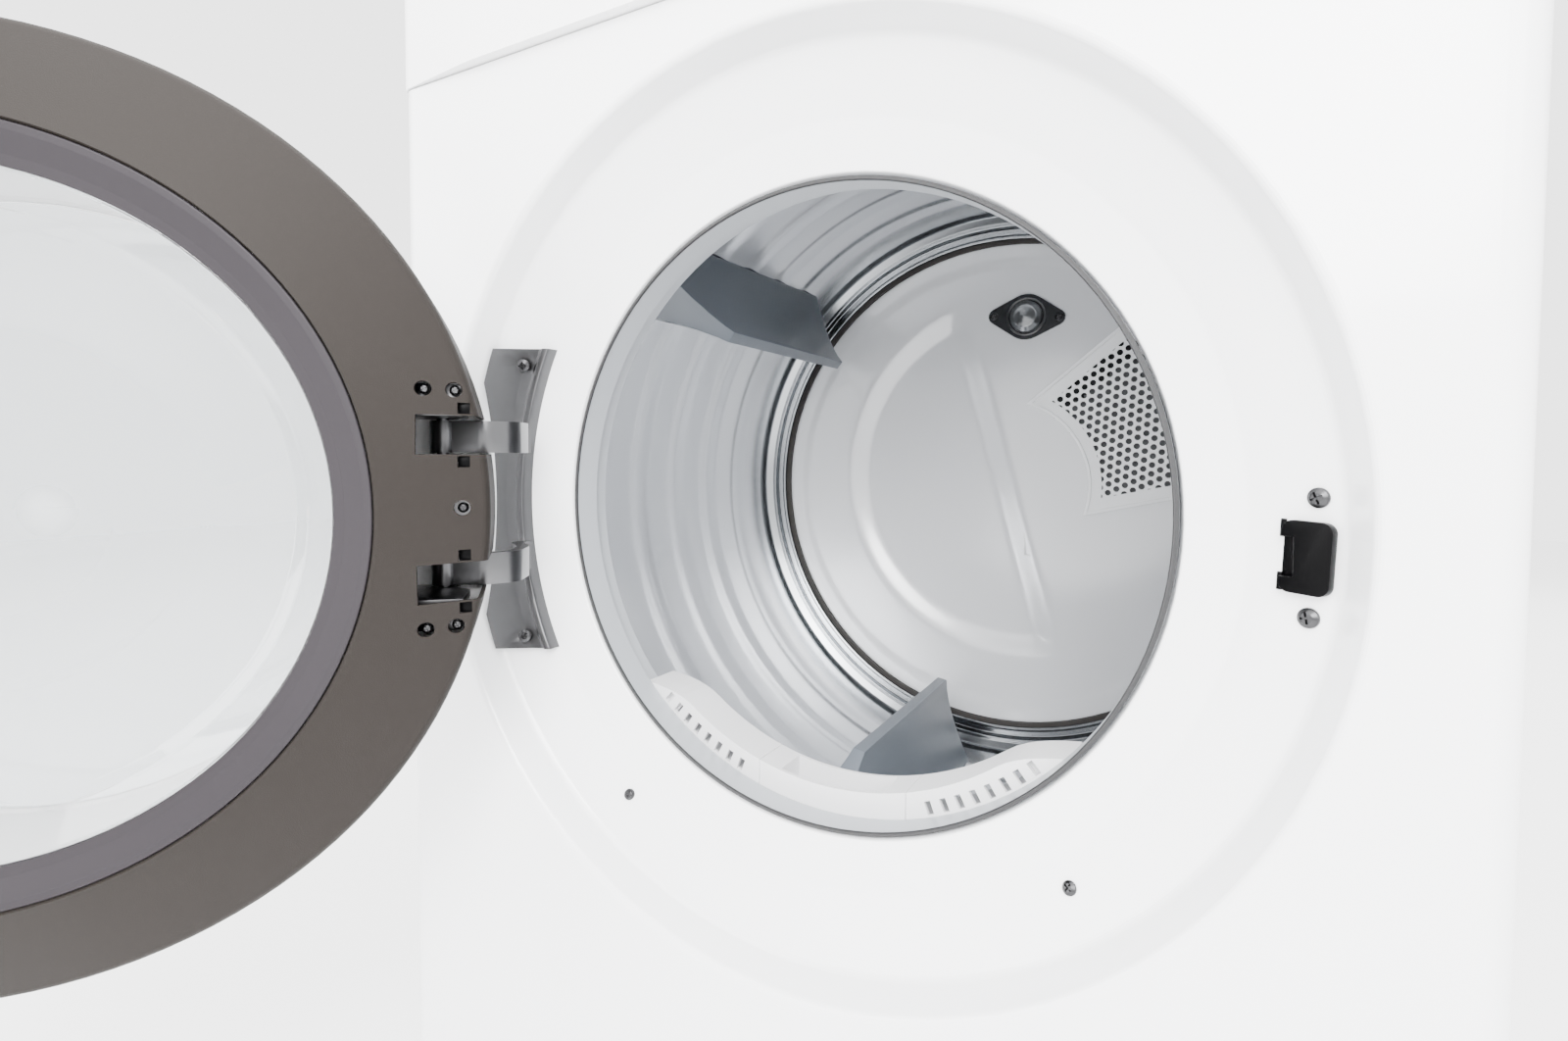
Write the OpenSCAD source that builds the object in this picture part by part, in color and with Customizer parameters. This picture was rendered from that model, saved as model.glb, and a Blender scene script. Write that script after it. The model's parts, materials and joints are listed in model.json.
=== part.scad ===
// Front-loading clothes dryer, 27 inch class, door on its left-hand hinge and swung open.
// +X right, +Y from the front to the back, +Z up. The origin is the middle of the base pan's underside.

/* [Cabinet] */
// Width of the cabinet
cabinet_w = 686; // [640:1:760]
// Depth of the cabinet, front sheet to back sheet
cabinet_d = 700; // [660:1:900]
// Height of the cabinet above the base pan's underside
cabinet_h = 963; // [930:1:1150]
// Thickness of the cabinet sheets
sheet_t = 1.2; // [0.8:0.1:2]
// Radius of the front upright corners
corner_r = 16; // [8:1:30]
// Thickness of the top panel
top_t = 22; // [15:1:40]
// Height of the control fascia
fascia_h = 138; // [100:1:150]
// Height of the drum axis above the base pan's underside
axis_z = 480; // [470:1:520]

/* [Front opening] */
// Radius of the loading opening
opening_r = 218.5; // [190:0.5:240]
// Radius of the round recess at the front sheet
recess_r = 292; // [285:0.5:315]
// How far the opening's rim lies behind the front sheet
recess_depth = 60; // [50:1:80]
// Length of the collar inside the opening
collar_len = 24; // [16:1:34]

/* [Drum] */
// Inner radius of the drum
drum_r = 322; // [312:0.5:326]
// Opening rim to the rear bulkhead
drum_reach = 500; // [460:1:660]
// Thickness of the drum's sheet
drum_t = 1; // [0.7:0.1:2]
// Height of the baffles
baffle_h = 97; // [70:1:110]
// Radius of the fixed disc at the back of the drum
rear_disc_r = 291; // [280:1:300]
// Radius of the support rollers
roller_r = 27; // [22:0.5:32]
// Radial clearance of the rollers and pulleys on their shafts
shaft_clear = 0.06; // [0.03:0.01:0.1]

/* [Door] */
// Radius of the door's outline
door_r = 274; // [250:1:280]
// Thickness of the door from its outline plane to its front
door_t = 72; // [68:1:86]
// How far the door stands open
door_open = 135.7; // [90:0.1:150]
// Sheet to sheet gap between the closed door and the recess
door_gap = 14; // [12:1:20]
// Height of a hinge arm
arm_h = 22; // [18:1:24]
// Height of the hinge arms above and below the hinge's middle
arm_z = 46; // [40:1:48]
// Radius of the hinge pins
hinge_pin_r = 4; // [3:0.1:5]

/* [Fittings] */
// Radius of the exhaust outlet
exhaust_r = 50.8; // [45:0.1:60]
// Height of the levelling feet
foot_h = 20; // [15:1:40]
// Radius of the levelling feet's threaded studs
stud_r = 5; // [4:0.5:6]
// Pitch of the inlet grille's holes
grille_pitch = 10; // [8:0.5:14]
// Diameter of the inlet grille's holes
grille_hole = 7; // [4:0.5:7]

/* [Hidden] */
$fn = 96;
half_w = cabinet_w / 2;
front_y = -cabinet_d / 2;
back_y = cabinet_d / 2;
rim_y = front_y + recess_depth;
disc_y = rim_y + drum_reach;
collar_end_y = rim_y + collar_len;
bulkhead_y = collar_end_y + 2;
bulkhead_t = 14;
drum_front_y = bulkhead_y + bulkhead_t + 10;
drum_back_y = disc_y - 8;
swage_h = 2;
drum_out_r = drum_r + drum_t + swage_h;
fascia_z = cabinet_h - top_t - fascia_h;
fit = 0.3;
wrap_len = 40;

// ---- outlines -------------------------------------------------------------------------------

function unit(v) = v / norm(v);

// The points of one rounded corner b between its neighbours a and c.
function corner(a, b, c, r, n) =
    let (u = unit(a - b), v = unit(c - b), half = acos(u * v) / 2,
        m = b + unit(u + v) * r / sin(half),
        p = b + u * r / tan(half) - m, q = b + v * r / tan(half) - m,
        start = atan2(p.y, p.x),
        turn = ((atan2(q.y, q.x) - start) % 360 + 540) % 360 - 180)
    [for (i = [0:n]) m + r * [cos(start + turn * i / n), sin(start + turn * i / n)]];

// An open path with a radius at each point; a radius of 0 keeps the point.
function path_of(pts, radii, n = 5) =
    [for (i = [0:len(pts) - 1])
        each (radii[i] == 0 ? [pts[i]] : corner(pts[i - 1], pts[i], pts[i + 1], radii[i], n))];

// A closed outline; r is one radius for all its corners or a list of them.
function ring_of(pts, r, n = 5) =
    let (k = len(pts))
    [for (i = [0:k - 1])
        each corner(pts[(i + k - 1) % k], pts[i], pts[(i + 1) % k], is_list(r) ? r[i] : r, n)];

// The same path moved sideways by t, to the left of its direction.
function beside(path, t) =
    let (k = len(path) - 1)
    [for (i = [0:k])
        let (a = unit(i == 0 ? path[1] - path[0] : path[i] - path[i - 1]),
            b = unit(i == k ? path[k] - path[k - 1] : path[i + 1] - path[i]),
            m = unit([-a.y - b.y, a.x + b.x]))
        path[i] + m * t / (m * [-a.y, a.x])];

function reversed(v) = [for (i = [len(v) - 1:-1:0]) v[i]];

// A sheet of thickness t along a path.
module band(path, t) polygon(concat(path, reversed(beside(path, t))));

module rounded_rect(w, d, r) {
    square([w - 2 * r, d], center = true);
    square([w, d - 2 * r], center = true);
    for (x = [-1, 1], y = [-1, 1]) translate([x * (w / 2 - r), y * (d / 2 - r)]) circle(r);
}

// ---- placing --------------------------------------------------------------------------------

// A front-view outline (x, z), made t thick from y backwards.
module plate(y, t) translate([0, y + t, 0]) rotate([90, 0, 0]) linear_extrude(t) children();

// A front-view outline about the drum axis.
module drum_plate(y, t) translate([0, 0, axis_z]) plate(y, t) children();

// A profile (radius, depth) turned about the drum axis.
module turned(y, start = 0, angle = 360)
    translate([0, y, axis_z]) rotate([90, 0, 0]) rotate([0, 0, start])
        rotate_extrude(angle = angle) mirror([0, 1]) children();

// A cylinder along Y.
module rod(x, y, z, r, len) translate([x, y, z]) rotate([-90, 0, 0]) cylinder(r = r, h = len);

module tube_y(x, y, z, r, t, len) difference() {
    rod(x, y, z, r, len);
    rod(x, y - 1, z, r - t, len + 2);
}

// ---- the front panel's dish -----------------------------------------------------------------

crease_r = opening_r + 28.5;
wall_foot_r = recess_r - 7;
crease_d = recess_depth - 12;
wall_foot_d = 25;
function dish_d(r) = crease_d - (crease_d - wall_foot_d) * (r - crease_r) / (wall_foot_r - crease_r);
function dish_y(r) = front_y + dish_d(r);
dish_path = path_of(
    [[recess_r + 12, 0], [recess_r, 0], [wall_foot_r, wall_foot_d], [crease_r, crease_d],
        [opening_r, recess_depth], [opening_r - 1.6, recess_depth + 8]],
    [0, 5, 9, 25, 2, 0]);

// A place on the dish's cone at the front-view point p about the drum axis, facing out, lifted off it.
dish_slope = atan((crease_d - wall_foot_d) / (wall_foot_r - crease_r));
module on_dish(p, lift) translate([0, 0, axis_z]) rotate([0, -atan2(p.y, p.x), 0])
    translate([norm(p), dish_y(norm(p)), 0]) rotate([0, 0, -dish_slope]) rotate([90, 0, 0])
        translate([0, 0, lift]) children();

module front_panel() color("white") {
    difference() {
        turned(front_y) band(dish_path, -sheet_t);
        for (p = concat(floor_screws, latch_screws, hinge_screws))
            on_dish(p, -10) cylinder(r = 2.3, h = 20);
        on_dish(latch_at, -10) linear_extrude(20) rounded_rect(latch_w - 3, latch_h - 5, 3);
    }
    front_h = fascia_z - 4;
    difference() {
        translate([0, 0, 3]) linear_extrude(front_h) intersection() {
            difference() {
                rounded_rect(cabinet_w, cabinet_d, corner_r);
                rounded_rect(cabinet_w - 2 * sheet_t, cabinet_d - 2 * sheet_t, corner_r - sheet_t);
            }
            translate([-half_w, front_y]) square([cabinet_w, wrap_len]);
        }
        rod(0, front_y - 5, axis_z, recess_r + 12, 20);
    }
}

module panel_shape(x) translate([x, front_y + wrap_len, 3])
    cube([sheet_t, cabinet_d - wrap_len - sheet_t, cabinet_h - top_t - 3]);

module left_side_panel() color("white") panel_shape(-half_w);

module right_side_panel() color("white") panel_shape(half_w - sheet_t);

foot_x = half_w - 45;
foot_y = cabinet_d / 2 - 50;
pedestal_x = 300;
pedestal_y = 250;
pan_wall = 30;

module base_pan() color("lightsteelblue") {
    inner_w = cabinet_w - 2 * sheet_t - 2 * fit;
    difference() {
        translate([0, 0, 0]) linear_extrude(pan_wall) rounded_rect(inner_w, cabinet_d - 2 * sheet_t - 1, 14);
        translate([0, 0, 2]) linear_extrude(pan_wall) rounded_rect(inner_w - 3, cabinet_d - 2 * sheet_t - 4, 12.5);
        for (x = [-foot_x, foot_x], y = [-foot_y, foot_y])
            translate([x, y, -1]) cylinder(r = stud_r + shaft_clear, h = 5);
        for (x = [-pedestal_x, pedestal_x] / 2, y = [-pedestal_y, pedestal_y] / 2)
            translate([x, y, -1]) cylinder(r = 3, h = 5);
    }
}

exhaust_x = -77;
exhaust_z = 84;
terminal_x = 250;
terminal_z = 860;

hose_gap = 5;
module rear_panel() color("gainsboro") difference() {
    plate(back_y - sheet_t, sheet_t) difference() {
        translate([-half_w, 3]) square([cabinet_w, cabinet_h - top_t - 3]);
        translate([exhaust_x, exhaust_z]) circle(exhaust_r + hose_gap);
        translate([terminal_x - 30, terminal_z - 22]) square([60, 44]);
        for (row = [0:7], col = [-1, 1])
            translate([col * 120 - 45, 560 + row * 18]) square([90, 6]);
    }
}

module top_panel() color("white") difference() {
    translate([0, 0, cabinet_h - top_t]) linear_extrude(top_t) rounded_rect(cabinet_w, cabinet_d, corner_r);
    translate([0, 0, cabinet_h - top_t - 1]) linear_extrude(top_t - 1)
        rounded_rect(cabinet_w - 4, cabinet_d - 4, corner_r - 2);
}

// ---- control panel --------------------------------------------------------------------------

fascia_bulge = 8;
fascia_d = wrap_len;
fascia_t = 3;
knob_x = -40;
knob_r = 33;
knob_len = 26;
controls_z = fascia_z + fascia_h / 2;
display_x = 120;
display_w = 170;
display_h = 62;
power_x = 245;
start_x = 292;
button_r = 15;
button_len = 9;
button_travel = 2;
button_clear = 0.5;

module fascia_plan(inset) polygon(path_of(
    [[-half_w + inset, front_y + fascia_d + inset], [-half_w + inset, front_y + inset],
        [-half_w + 90, front_y - fascia_bulge + inset], [half_w - 90, front_y - fascia_bulge + inset],
        [half_w - inset, front_y + inset], [half_w - inset, front_y + fascia_d + inset]],
    [0, 14 - inset, 200, 200, 14 - inset, 0]));

module control_fascia() color("white") difference() {
    translate([0, 0, fascia_z]) linear_extrude(fascia_h - 1) fascia_plan(0);
    translate([0, 0, fascia_z + fascia_t]) linear_extrude(fascia_h - 1 - 2 * fascia_t) fascia_plan(fascia_t);
    rod(knob_x, front_y - 20, controls_z, 5, 40);
    rod(power_x, front_y - 20, controls_z, button_r + button_clear, 40);
    rod(start_x, front_y - 20, controls_z, button_r + button_clear, 40);
    translate([display_x - display_w / 2, front_y - 20, controls_z - display_h / 2])
        cube([display_w, 40, display_h]);
}

module display_window() color("black") {
    plate(front_y - fascia_bulge - 0.5, 4) translate([display_x, controls_z])
        rounded_rect(display_w - 1, display_h - 1, 6);
}

module control_board() color("darkgreen") {
    plate(front_y + 14, 1.6) translate([display_x, controls_z]) square([200, 90], center = true);
    for (x = [-60, -20, 20, 60]) plate(front_y + 15.6, 6)
        translate([display_x + x, controls_z + 20]) square([24, 18], center = true);
    for (x = [-70, 70]) plate(front_y + 4, 10)
        translate([display_x + x, controls_z + 38]) circle(3);
}

module control_knob() color("whitesmoke") translate([knob_x, front_y - fascia_bulge - 1, controls_z])
    rotate([90, 0, 0]) {
        rotate_extrude() polygon(path_of(
            [[0, 0], [knob_r, 0], [knob_r, knob_len - 8], [knob_r - 4, knob_len], [0, knob_len - 2]],
            [0, 1, 4, 3, 0]));
        translate([0, 0, -18]) cylinder(r = 4, h = 18.5);
    }

module push_button(x) color("silver") translate([x, front_y - fascia_bulge - 4, controls_z])
    rotate([-90, 0, 0]) rotate_extrude() polygon(path_of(
        [[0, 0.6], [button_r - 3, 0], [button_r, 1], [button_r, button_len], [0, button_len]],
        [0, 4, 1, 0, 0]));

module power_button() push_button(power_x);

module start_button() push_button(start_x);

// ---- bulkheads, collar and filter -----------------------------------------------------------

inner_half = half_w - sheet_t - 1;
duct_half = 70;
duct_front_y = rim_y + 9;
duct_back_y = bulkhead_y + bulkhead_t;
duct_low_z = 24;
bulkhead_low_z = 34;
roller_angle = 35;
roller_reach = drum_r + drum_t + fit + roller_r;
roller_x = roller_reach * sin(roller_angle);
roller_z = axis_z - roller_reach * cos(roller_angle);
roller_w = 22;
roller_shaft_r = 6;
front_roller_y = drum_front_y + 14;
rear_roller_y = drum_back_y - 14 - roller_w;
duct_right = 142;

module front_bulkhead() color("lightgray") difference() {
    plate(bulkhead_y, bulkhead_t) difference() {
        translate([-inner_half, bulkhead_low_z]) square([2 * inner_half, fascia_z - bulkhead_low_z - 4]);
        translate([0, axis_z]) circle(opening_r + 1.5);
        translate([-duct_half - 3, duct_low_z - 2])
            square([duct_half + duct_right + 6, 180]);
        translate([-duct_half - 3, 180]) square([2 * duct_half + 6, axis_z - opening_r - 180 + 30]);
    }
    for (x = [-roller_x, roller_x]) rod(x, bulkhead_y - 1, roller_z, roller_shaft_r, bulkhead_t + 2);
}

module opening_collar() color("lightgray") turned(rim_y + 2.5) polygon(
    [[opening_r - 2.2, 0], [opening_r - 2.2, collar_len - 3], [opening_r - 4.2, collar_len - 3], [opening_r - 4.2, 0]]);

module rim_gasket() color("dimgray") turned(rim_y) polygon(path_of(
    [[opening_r - 2.2, 0.6], [opening_r - 4.8, -1], [opening_r - 5.4, 1], [opening_r - 4.2, 2.3], [opening_r - 2.2, 2.3]],
    [0, 0.6, 0.6, 0.5, 0]));

lip_r = opening_r - 21.5;
lip_back = 34;
lip_half_angle = 48;
handle_half = 57;
slot_count = 8;
slot_step = 3.05;
slot_start = 20.5;
lip_slope = 6;
filter_w = 104;
filter_t = 7;
filter_len = 135;
filter_y = collar_end_y + 6;

// The crescent outline of the housing: lowered to the collar at both ends.
module crescent() polygon(concat(
    [for (a = [-lip_half_angle:2:lip_half_angle]) opening_r * [sin(a), -cos(a)]],
    [for (a = [lip_half_angle:-2:-lip_half_angle])
        (lip_r + (opening_r - lip_r - 1) * pow(max(abs(a) - 36, 0) / (lip_half_angle - 36), 2)) * [sin(a), -cos(a)]]));

module filter_housing() color("gainsboro") {
    difference() {
        drum_plate(collar_end_y, lip_back) crescent();
        drum_plate(collar_end_y + 3, lip_back) difference() {
            circle(opening_r - 3);
            circle(lip_r + 3);
            rotate(-90 + lip_half_angle - 9) square(400);
            rotate(-180 - lip_half_angle + 9) square(400);
        }
        for (side = [-1, 1], i = [0:slot_count - 1])
            drum_plate(collar_end_y - 1, 6) rotate(side * (slot_start + i * slot_step))
                translate([-2.2, -opening_r + 5.5]) square([4.4, 9]);
        drum_plate(collar_end_y - 1, lip_back + 2) translate([-handle_half, -opening_r - 10])
            square([2 * handle_half, 60]);
    }
    difference() {
        translate([-duct_half, duct_front_y, duct_low_z])
            cube([2 * duct_half, duct_back_y - duct_front_y, axis_z - opening_r + 14 - duct_low_z]);
        translate([-duct_half + 2.5, duct_front_y + 2.5, duct_low_z + 2.5])
            cube([2 * duct_half - 5, duct_back_y - duct_front_y - 5, 300]);
        translate([duct_half - 4, duct_front_y + 2.5, duct_low_z + 3])
            cube([10, duct_back_y - duct_front_y - 5, 136]);
        rod(0, duct_front_y - 5, axis_z, opening_r + 1, collar_end_y + 0.5 - duct_front_y + 5);
        rod(0, duct_front_y - 5, axis_z, opening_r - 1, 100);
    }
    difference() {
        translate([duct_half, duct_front_y, duct_low_z])
            cube([duct_right - duct_half, duct_back_y - duct_front_y, 142]);
        translate([duct_half - 1, duct_front_y + 2.5, duct_low_z + 2.5])
            cube([duct_right - duct_half - 1.5, duct_back_y - duct_front_y - 5, 137]);
        rod(motor_x, duct_back_y - 5, motor_z, 40, 10);
    }
}

module lint_filter() color("whitesmoke") {
    difference() {
        drum_plate(collar_end_y, lip_back) intersection() {
            difference() {
                circle(opening_r - 1.4);
                circle(lip_r);
            }
            translate([-handle_half + 0.4, -opening_r]) square([2 * handle_half - 0.8, 60]);
        }
        drum_plate(collar_end_y + 3, lip_back - 6) intersection() {
            circle(opening_r - 4);
            translate([-40, -opening_r]) square([80, 30]);
        }
    }
    plate(filter_y, filter_t) difference() {
        translate([-filter_w / 2, axis_z - opening_r - filter_len]) square([filter_w, filter_len + 9]);
        for (col = [-1, 0, 1], row = [0, 1]) translate([col * 32 - 14, axis_z - opening_r - filter_len + 8 + row * 60])
            square([28, 54]);
    }
    plate(filter_y + filter_t / 2 - 0.4, 0.8)
        translate([-filter_w / 2 + 3, axis_z - opening_r - filter_len + 3]) square([filter_w - 6, filter_len - 10]);
}

// ---- back of the drum -----------------------------------------------------------------------

grille_turn = 26.5;
grille_in_r = 103;
grille_out_r = 256;
grille_edge_x = 73;
grille_edge_y = 72;
grille_flare = 13.7;
lamp_x = 29;
lamp_z = 202;
lamp_r = 22;

// The inlet's outline; inset shrinks it all round.
module inlet(inset) rotate(grille_turn) intersection() {
    difference() {
        circle(grille_out_r - inset);
        circle(grille_in_r + inset);
    }
    polygon(ring_of([[grille_edge_x - 8 + inset, grille_edge_y - inset], [grille_edge_x - 8 + inset, -grille_edge_y + inset],
        [290, -grille_edge_y + inset - (290 - grille_edge_x) * tan(grille_flare)],
        [290, grille_edge_y - inset + (290 - grille_edge_x) * tan(grille_flare)]], 12));
}

module rear_bulkhead() color("whitesmoke") difference() {
    plate(disc_y, 2) difference() {
        translate([-inner_half, 140]) square([2 * inner_half, fascia_z - 150]);
        translate([0, axis_z]) {
            inlet(8);
            translate([lamp_x, lamp_z]) rotate(-5) {
                circle(lamp_r - 3);
                for (x = [-1, 1] * lamp_screw_x) translate([x, 0]) circle(2.1);
            }
        }
    }
    for (x = [-roller_x, roller_x]) rod(x, disc_y - 1, roller_z, roller_shaft_r, 4);
}

module inlet_grille() color("white") {
    row_h = grille_pitch * sqrt(3) / 2;
    drum_plate(disc_y - 2, 2) difference() {
        inlet(0);
        intersection() {
            inlet(14);
            rotate(grille_turn) for (row = [0:32], col = [0:17])
                translate([grille_in_r - 40 + (col + (row % 2) / 2) * grille_pitch, (row - 16) * row_h])
                    circle(d = grille_hole, $fn = 8);
        }
    }
    drum_plate(disc_y - 5, 3) difference() {
        inlet(0);
        inlet(3);
    }
}

lamp_outline = ring_of([[-54, 0], [0, 31], [54, 0], [0, -31]], [9, 26, 9, 26]);

module lamp_flange() color("silver") drum_plate(disc_y - 3, 3)
    translate([lamp_x, lamp_z]) rotate(-5) difference() {
        polygon(lamp_outline);
        circle(lamp_r - 3);
        for (x = [-1, 1] * lamp_screw_x) translate([x, 0]) circle(2.1);
    }

module lamp_lens() color("lightgray") translate([lamp_x, disc_y + 1.6, axis_z + lamp_z]) rotate([90, 0, 0])
    rotate_extrude() polygon(path_of(
        [[0, 0], [lamp_r - 3.3, 0], [lamp_r - 3.3, 9], [lamp_r - 9, 13], [0, 14.5]], [0, 0, 2, 4, 0]));

heater_x = 30;
heater_w = 250;
heater_z = 395;
heater_h = 330;
heater_d = 88;

module heater_housing() color("lightgray") difference() {
    translate([heater_x, disc_y + 2, heater_z]) cube([heater_w, heater_d, heater_h]);
    translate([heater_x + 1.2, disc_y + 1, heater_z + 1.2]) cube([heater_w - 2.4, heater_d - 0.2, heater_h - 2.4]);
    translate([heater_x + 40, disc_y + 20, heater_z - 1]) cube([150, 50, 4]);
}

module heater_coil() color("dimgray") {
    bars = 7;
    for (i = [0:bars - 1]) rod(heater_x + 40 + i * 26, disc_y + 30, heater_z + 60, 3, 36);
    for (i = [0:bars - 1]) translate([heater_x + 40 + i * 26, disc_y + 48, heater_z + 60])
        cylinder(r = 6, h = 200);
    translate([heater_x + 28, disc_y + 42, heater_z + 259]) cube([184, 14, 6]);
    translate([heater_x + 28, disc_y + 42, heater_z + 1.4]) cube([184, 14, 60]);
}

// ---- air and drive under the drum -----------------------------------------------------------

motor_x = 72;
motor_z = 74;
motor_r = 56;
motor_y = -110;
motor_len = 130;
motor_shaft_r = 6.5;
blower_y = duct_back_y;
blower_d = 58;
blower_r = 66;
pulley_r = 12;
belt_w = 14;
belt_y = motor_y + motor_len + 24;
belt_t = 2;

module blower_shape(grow) {
    translate([motor_x, motor_z]) circle(blower_r + grow);
    translate([exhaust_x - exhaust_r - 2 - grow, motor_z - 56 - grow])
        square([motor_x - exhaust_x + exhaust_r + 2 + grow, exhaust_z + 54 - motor_z + 56 + 2 * grow]);
}

module blower_housing() color("lightgray") difference() {
    plate(blower_y, blower_d) blower_shape(2);
    plate(blower_y + 2.5, blower_d - 5) blower_shape(0);
    rod(motor_x, blower_y - 1, motor_z, 40, 5);
    rod(motor_x, blower_y + blower_d - 5, motor_z, motor_shaft_r + 2, 10);
    rod(exhaust_x, blower_y + blower_d - 5, exhaust_z, exhaust_r - 2, 10);
}

collar_y = back_y + 2;
collar_out = 28;
module exhaust_duct() color("silver") difference() {
    union() {
        rod(exhaust_x, blower_y + blower_d, exhaust_z, exhaust_r - 0.8, collar_y + 1 - blower_y - blower_d);
        rod(exhaust_x, collar_y, exhaust_z, exhaust_r, collar_out);
    }
    rod(exhaust_x, blower_y, exhaust_z, exhaust_r - 2, back_y + collar_out + 10 - blower_y);
}

module motor_body() color("dimgray") difference() {
    union() {
        rod(motor_x, motor_y, motor_z, motor_r, motor_len);
        for (y = [motor_y + 12, motor_y + motor_len - 32])
            translate([motor_x - 40, y, 2]) cube([80, 20, motor_z - 30]);
    }
    rod(motor_x, motor_y - 1, motor_z, motor_shaft_r + shaft_clear, motor_len + 2);
    tube_y(motor_x, motor_y + 20, motor_z, motor_r + 1, 4, 90);
}

module motor_rotor() color("silver") {
    rod(motor_x, blower_y + 10, motor_z, motor_shaft_r, belt_y + belt_w + 4 - blower_y - 10);
    translate([motor_x, belt_y - 3, motor_z]) rotate([-90, 0, 0]) rotate_extrude()
        polygon([[motor_shaft_r, 0], [pulley_r + 4, 0], [pulley_r + 4, 2], [pulley_r, 2.5], [pulley_r, belt_w + 3.5],
            [pulley_r + 4, belt_w + 4], [pulley_r + 4, belt_w + 6], [motor_shaft_r, belt_w + 6]]);
}

module blower_wheel() color("whitesmoke") translate([motor_x, blower_y + 14, motor_z]) rotate([-90, 0, 0]) {
    difference() {
        union() {
            cylinder(r = 56, h = 2);
            cylinder(r = 14, h = 26);
            translate([0, 0, 28]) difference() {
                cylinder(r = 56, h = 2);
                translate([0, 0, -1]) cylinder(r = 40, h = 4);
            }
        }
        translate([0, 0, -1]) cylinder(r = motor_shaft_r, h = 40);
    }
    for (i = [0:15]) rotate(i * 22.5) translate([42, 0, 1.5]) rotate([0, 0, 35]) cube([16, 1.6, 27]);
}

// Two circles and the straight runs between them, the runs set in a hair so that they cut the circles.
module looped(r1, p2, r2) {
    set_in = 0.25;
    aim = atan2(p2.y, p2.x);
    swing = acos((r1 - r2) / norm(p2));
    up = [cos(aim + swing), sin(aim + swing)];
    down = [cos(aim - swing), sin(aim - swing)];
    circle(r1);
    translate(p2) circle(r2);
    polygon([(r1 - set_in) * up, p2 + (r2 - set_in) * up, p2 + (r2 - set_in) * down, (r1 - set_in) * down]);
}

belt_path_r = drum_out_r + fit;
module drive_belt() color("black") drum_plate(belt_y, belt_w) difference() {
    looped(belt_path_r + belt_t, belt_to_pulley, pulley_r + fit + belt_t);
    looped(belt_path_r, belt_to_pulley, pulley_r + fit);
}

idler_r = 18;
idler_x = 190;
idler_z = 52;
idler_along = 200;
belt_to_pulley = [motor_x, motor_z - axis_z];
run_angle = atan2(belt_to_pulley.y, belt_to_pulley.x)
    + acos((belt_path_r - pulley_r - fit) / norm(belt_to_pulley));
idler_off = belt_path_r + belt_t + fit + idler_r;
idler_pulley_x = idler_off * cos(run_angle) + idler_along * sin(run_angle);
idler_pulley_z = axis_z + idler_off * sin(run_angle) - idler_along * cos(run_angle);

module idler_arm() color("gray") difference() {
    union() {
        plate(belt_y - 8, 4) difference() {
            union() {
                translate([idler_x, idler_z]) circle(11);
                translate([idler_pulley_x, idler_pulley_z]) circle(9);
                polygon([[idler_x + 9, idler_z + 6], [idler_pulley_x + 7, idler_pulley_z + 5],
                    [idler_pulley_x - 7, idler_pulley_z - 5], [idler_x - 9, idler_z - 6]]);
            }
            translate([idler_x, idler_z]) circle(5 + shaft_clear);
        }
        rod(idler_pulley_x, belt_y - 4, idler_pulley_z, 5, belt_w + 6);
    }
}

module idler_pulley() color("whitesmoke") difference() {
    rod(idler_pulley_x, belt_y - 2, idler_pulley_z, idler_r, belt_w + 2);
    rod(idler_pulley_x, belt_y - 3, idler_pulley_z, 5 + shaft_clear, belt_w + 4);
}

module roller_shafts() color("silver") {
    for (x = [-roller_x, roller_x]) {
        rod(x, bulkhead_y, roller_z, roller_shaft_r, front_roller_y + roller_w + 4 - bulkhead_y);
        rod(x, rear_roller_y - 4, roller_z, roller_shaft_r, disc_y + 2 - rear_roller_y + 4);
    }
    rod(idler_x, belt_y - 20, idler_z, 5, 24);
    translate([idler_x - 14, belt_y - 20, 2]) cube([28, 8, idler_z - 4]);
}

module roller(x, y) color("dimgray") translate([x, y, roller_z]) rotate([-90, 0, 0]) rotate_extrude()
    polygon([[roller_shaft_r + shaft_clear, 0], [roller_r - 2, 0], [roller_r, 2], [roller_r, roller_w - 2],
        [roller_r - 2, roller_w], [roller_shaft_r + shaft_clear, roller_w]]);

module roller_front_left() roller(-roller_x, front_roller_y);
module roller_front_right() roller(roller_x, front_roller_y);
module roller_rear_left() roller(-roller_x, rear_roller_y);
module roller_rear_right() roller(roller_x, rear_roller_y);

module felt_seals() color("tan") {
    felt_t = drum_front_y - fit - bulkhead_y - bulkhead_t;
    turned(bulkhead_y + bulkhead_t)
        polygon([[drum_r - 8, 0], [drum_r + 6, 0], [drum_r + 6, felt_t], [drum_r - 8, felt_t]]);
    turned(disc_y) polygon([[rear_disc_r - 1, 0], [rear_disc_r + 10, 0], [rear_disc_r + 10, -6], [rear_disc_r - 1, -6]]);
}

// ---- drum -----------------------------------------------------------------------------------

ring_len = 26;
shell_end_y = drum_back_y - ring_len;
swages = [60, 150, 215, 280, 345];
swage_w = 14;

// The drum's wall with its pressed rings, each a raised band between two slopes.
drum_wall = concat([[drum_r, 0]],
    [for (s = swages) each [[drum_r, s], [drum_r + swage_h, s + 4], [drum_r + swage_h, s + swage_w - 4], [drum_r, s + swage_w]]],
    [[drum_r, shell_end_y - drum_front_y]]);

module drum_shell() color("silver") turned(drum_front_y) band(drum_wall, -drum_t);

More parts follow.
